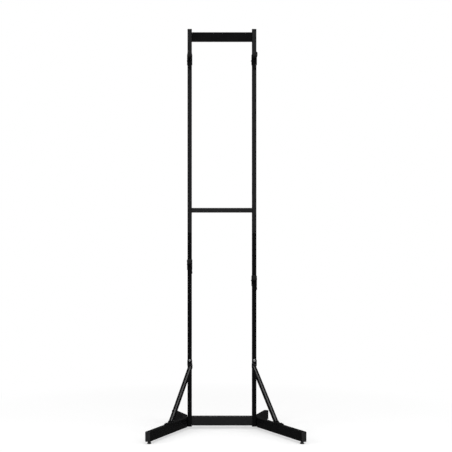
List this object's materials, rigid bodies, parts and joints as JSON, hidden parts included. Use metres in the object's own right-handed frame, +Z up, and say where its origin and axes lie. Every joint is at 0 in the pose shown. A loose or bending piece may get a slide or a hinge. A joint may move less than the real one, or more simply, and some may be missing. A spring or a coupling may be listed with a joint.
{
  "type": "bike storage tower",
  "caption": "Free-standing black steel tower: posts joined by crossbars, bent feet, braces, and clamped sleeves with rubber-covered hooks that hang bicycles one above another.",
  "frame": {"origin": "on the floor under the middle of the tower's bounding box", "axes": "+X to the right and +Z up for someone who faces the front, which looks along -Y"},
  "size_m": [0.7632, 0.603, 2.032],
  "materials": {
    "upper_paint": "satin black powder coat",
    "lower_paint": "semi-gloss black powder coat",
    "black_plastic": "fine grained",
    "black_rubber": "matte",
    "black_steel": "black oxide",
    "zinc_steel": "zinc plated"
  },
  "bodies": {
    "frame": {"left_lower_post": "lower_paint", "left_upper_post": "upper_paint", "left_post_splice": "black_steel", "left_lower_splice_bolt": "black_steel", "left_upper_splice_bolt": "black_steel", "left_post_cap": "black_plastic", "right_lower_post": "lower_paint", "right_upper_post": "upper_paint", "right_post_splice": "black_steel", "right_lower_splice_bolt": "black_steel", "right_upper_splice_bolt": "black_steel", "right_post_cap": "black_plastic", "middle_crossbar": "upper_paint", "base_crossbar": "lower_paint", "top_panel": "upper_paint", "left_foot_tube": "lower_paint", "left_lower_foot_bolt": "black_steel", "left_upper_foot_bolt": "black_steel", "left_front_end_cap": "black_plastic", "left_rear_end_cap": "black_plastic", "left_brace": "lower_paint", "left_brace_upper_bolt": "black_steel", "left_brace_lower_bolt": "black_steel", "right_foot_tube": "lower_paint", "right_lower_foot_bolt": "black_steel", "right_upper_foot_bolt": "black_steel", "right_front_end_cap": "black_plastic", "right_rear_end_cap": "black_plastic", "right_brace": "lower_paint", "right_brace_upper_bolt": "black_steel", "right_brace_lower_bolt": "black_steel"},
    "upper_left_slider": {"upper_left_arm_sleeve": "lower_paint", "upper_left_pivot_bolt": "black_steel"},
    "upper_left_knob": {"upper_left_clamp_knob": "black_plastic"},
    "upper_left_cradle": {"upper_left_hook": "lower_paint", "upper_left_hook_cover": "black_rubber"},
    "upper_right_slider": {"upper_right_arm_sleeve": "lower_paint", "upper_right_pivot_bolt": "black_steel"},
    "upper_right_knob": {"upper_right_clamp_knob": "black_plastic"},
    "upper_right_cradle": {"upper_right_hook": "lower_paint", "upper_right_hook_cover": "black_rubber"},
    "lower_left_slider": {"lower_left_arm_sleeve": "lower_paint", "lower_left_pivot_bolt": "black_steel"},
    "lower_left_knob": {"lower_left_clamp_knob": "black_plastic"},
    "lower_left_cradle": {"lower_left_hook": "lower_paint", "lower_left_hook_cover": "black_rubber"},
    "lower_right_slider": {"lower_right_arm_sleeve": "lower_paint", "lower_right_pivot_bolt": "black_steel"},
    "lower_right_knob": {"lower_right_clamp_knob": "black_plastic"},
    "lower_right_cradle": {"lower_right_hook": "lower_paint", "lower_right_hook_cover": "black_rubber"},
    "left_front_pad": {"left_front_levelling_pad": "black_rubber"},
    "left_front_stem": {"left_front_levelling_stem": "zinc_steel"},
    "left_rear_pad": {"left_rear_levelling_pad": "black_rubber"},
    "left_rear_stem": {"left_rear_levelling_stem": "zinc_steel"},
    "right_front_pad": {"right_front_levelling_pad": "black_rubber"},
    "right_front_stem": {"right_front_levelling_stem": "zinc_steel"},
    "right_rear_pad": {"right_rear_levelling_pad": "black_rubber"},
    "right_rear_stem": {"right_rear_levelling_stem": "zinc_steel"}
  },
  "joints": [
    {"name": "upper_left_height", "type": "slide", "parent": "frame", "child": "upper_left_slider", "axis": [0, 0, 1], "range_m": [-0.725, 0.063]},
    {"name": "upper_left_tilt", "type": "hinge", "parent": "upper_left_slider", "child": "upper_left_cradle", "pos_m": [-0.164, 0.09555, 1.87], "axis": [0, 1, 0], "range_deg": [-17, 23]},
    {"name": "upper_left_clamp", "type": "hinge", "parent": "upper_left_slider", "child": "upper_left_knob", "pos_m": [-0.164, 0.09555, 1.876], "axis": [0, 1, 0], "range_deg": [0, 720]},
    {"name": "upper_right_height", "type": "slide", "parent": "frame", "child": "upper_right_slider", "axis": [0, 0, 1], "range_m": [-0.725, 0.063]},
    {"name": "upper_right_tilt", "type": "hinge", "parent": "upper_right_slider", "child": "upper_right_cradle", "pos_m": [0.164, 0.09555, 1.87], "axis": [0, 1, 0], "range_deg": [-19, 21]},
    {"name": "upper_right_clamp", "type": "hinge", "parent": "upper_right_slider", "child": "upper_right_knob", "pos_m": [0.164, 0.09555, 1.876], "axis": [0, 1, 0], "range_deg": [0, 720]},
    {"name": "lower_left_height", "type": "slide", "parent": "frame", "child": "lower_left_slider", "axis": [0, 0, 1], "range_m": [-0.42, 0.095]},
    {"name": "lower_left_tilt", "type": "hinge", "parent": "lower_left_slider", "child": "lower_left_cradle", "pos_m": [-0.164, 0.09555, 0.828], "axis": [0, 1, 0], "range_deg": [-12, 28]},
    {"name": "lower_left_clamp", "type": "hinge", "parent": "lower_left_slider", "child": "lower_left_knob", "pos_m": [-0.164, 0.09555, 0.834], "axis": [0, 1, 0], "range_deg": [0, 720]},
    {"name": "lower_right_height", "type": "slide", "parent": "frame", "child": "lower_right_slider", "axis": [0, 0, 1], "range_m": [-0.338, 0.177]},
    {"name": "lower_right_tilt", "type": "hinge", "parent": "lower_right_slider", "child": "lower_right_cradle", "pos_m": [0.164, 0.09555, 0.746], "axis": [0, 1, 0], "range_deg": [-12, 28]},
    {"name": "lower_right_clamp", "type": "hinge", "parent": "lower_right_slider", "child": "lower_right_knob", "pos_m": [0.164, 0.09555, 0.752], "axis": [0, 1, 0], "range_deg": [0, 720]},
    {"name": "left_front_levelling", "type": "slide", "parent": "frame", "child": "left_front_pad", "axis": [0, 0, -1], "range_m": [-0.0015, 0.012]},
    {"name": "left_front_stem_turn", "type": "hinge", "parent": "left_front_pad", "child": "left_front_stem", "pos_m": [-0.36191, -0.27826, 0.02], "axis": [0, 0, -1], "range_deg": [-440, 3470]},
    {"name": "left_rear_levelling", "type": "slide", "parent": "frame", "child": "left_rear_pad", "axis": [0, 0, -1], "range_m": [-0.0015, 0.012]},
    {"name": "left_rear_stem_turn", "type": "hinge", "parent": "left_rear_pad", "child": "left_rear_stem", "pos_m": [-0.23626, 0.27848, 0.02], "axis": [0, 0, -1], "range_deg": [-440, 3470]},
    {"name": "right_front_levelling", "type": "slide", "parent": "frame", "child": "right_front_pad", "axis": [0, 0, -1], "range_m": [-0.0015, 0.012]},
    {"name": "right_front_stem_turn", "type": "hinge", "parent": "right_front_pad", "child": "right_front_stem", "pos_m": [0.36191, -0.27826, 0.02], "axis": [0, 0, -1], "range_deg": [-440, 3470]},
    {"name": "right_rear_levelling", "type": "slide", "parent": "frame", "child": "right_rear_pad", "axis": [0, 0, -1], "range_m": [-0.0015, 0.012]},
    {"name": "right_rear_stem_turn", "type": "hinge", "parent": "right_rear_pad", "child": "right_rear_stem", "pos_m": [0.23626, 0.27848, 0.02], "axis": [0, 0, -1], "range_deg": [-440, 3470]}
  ],
  "couplings": [
    {"joint": "left_front_stem_turn", "follows": "left_front_levelling", "rad_per_m": 5026.5},
    {"joint": "left_rear_stem_turn", "follows": "left_rear_levelling", "rad_per_m": 5026.5},
    {"joint": "right_front_stem_turn", "follows": "right_front_levelling", "rad_per_m": 5026.5},
    {"joint": "right_rear_stem_turn", "follows": "right_rear_levelling", "rad_per_m": 5026.5}
  ]
}
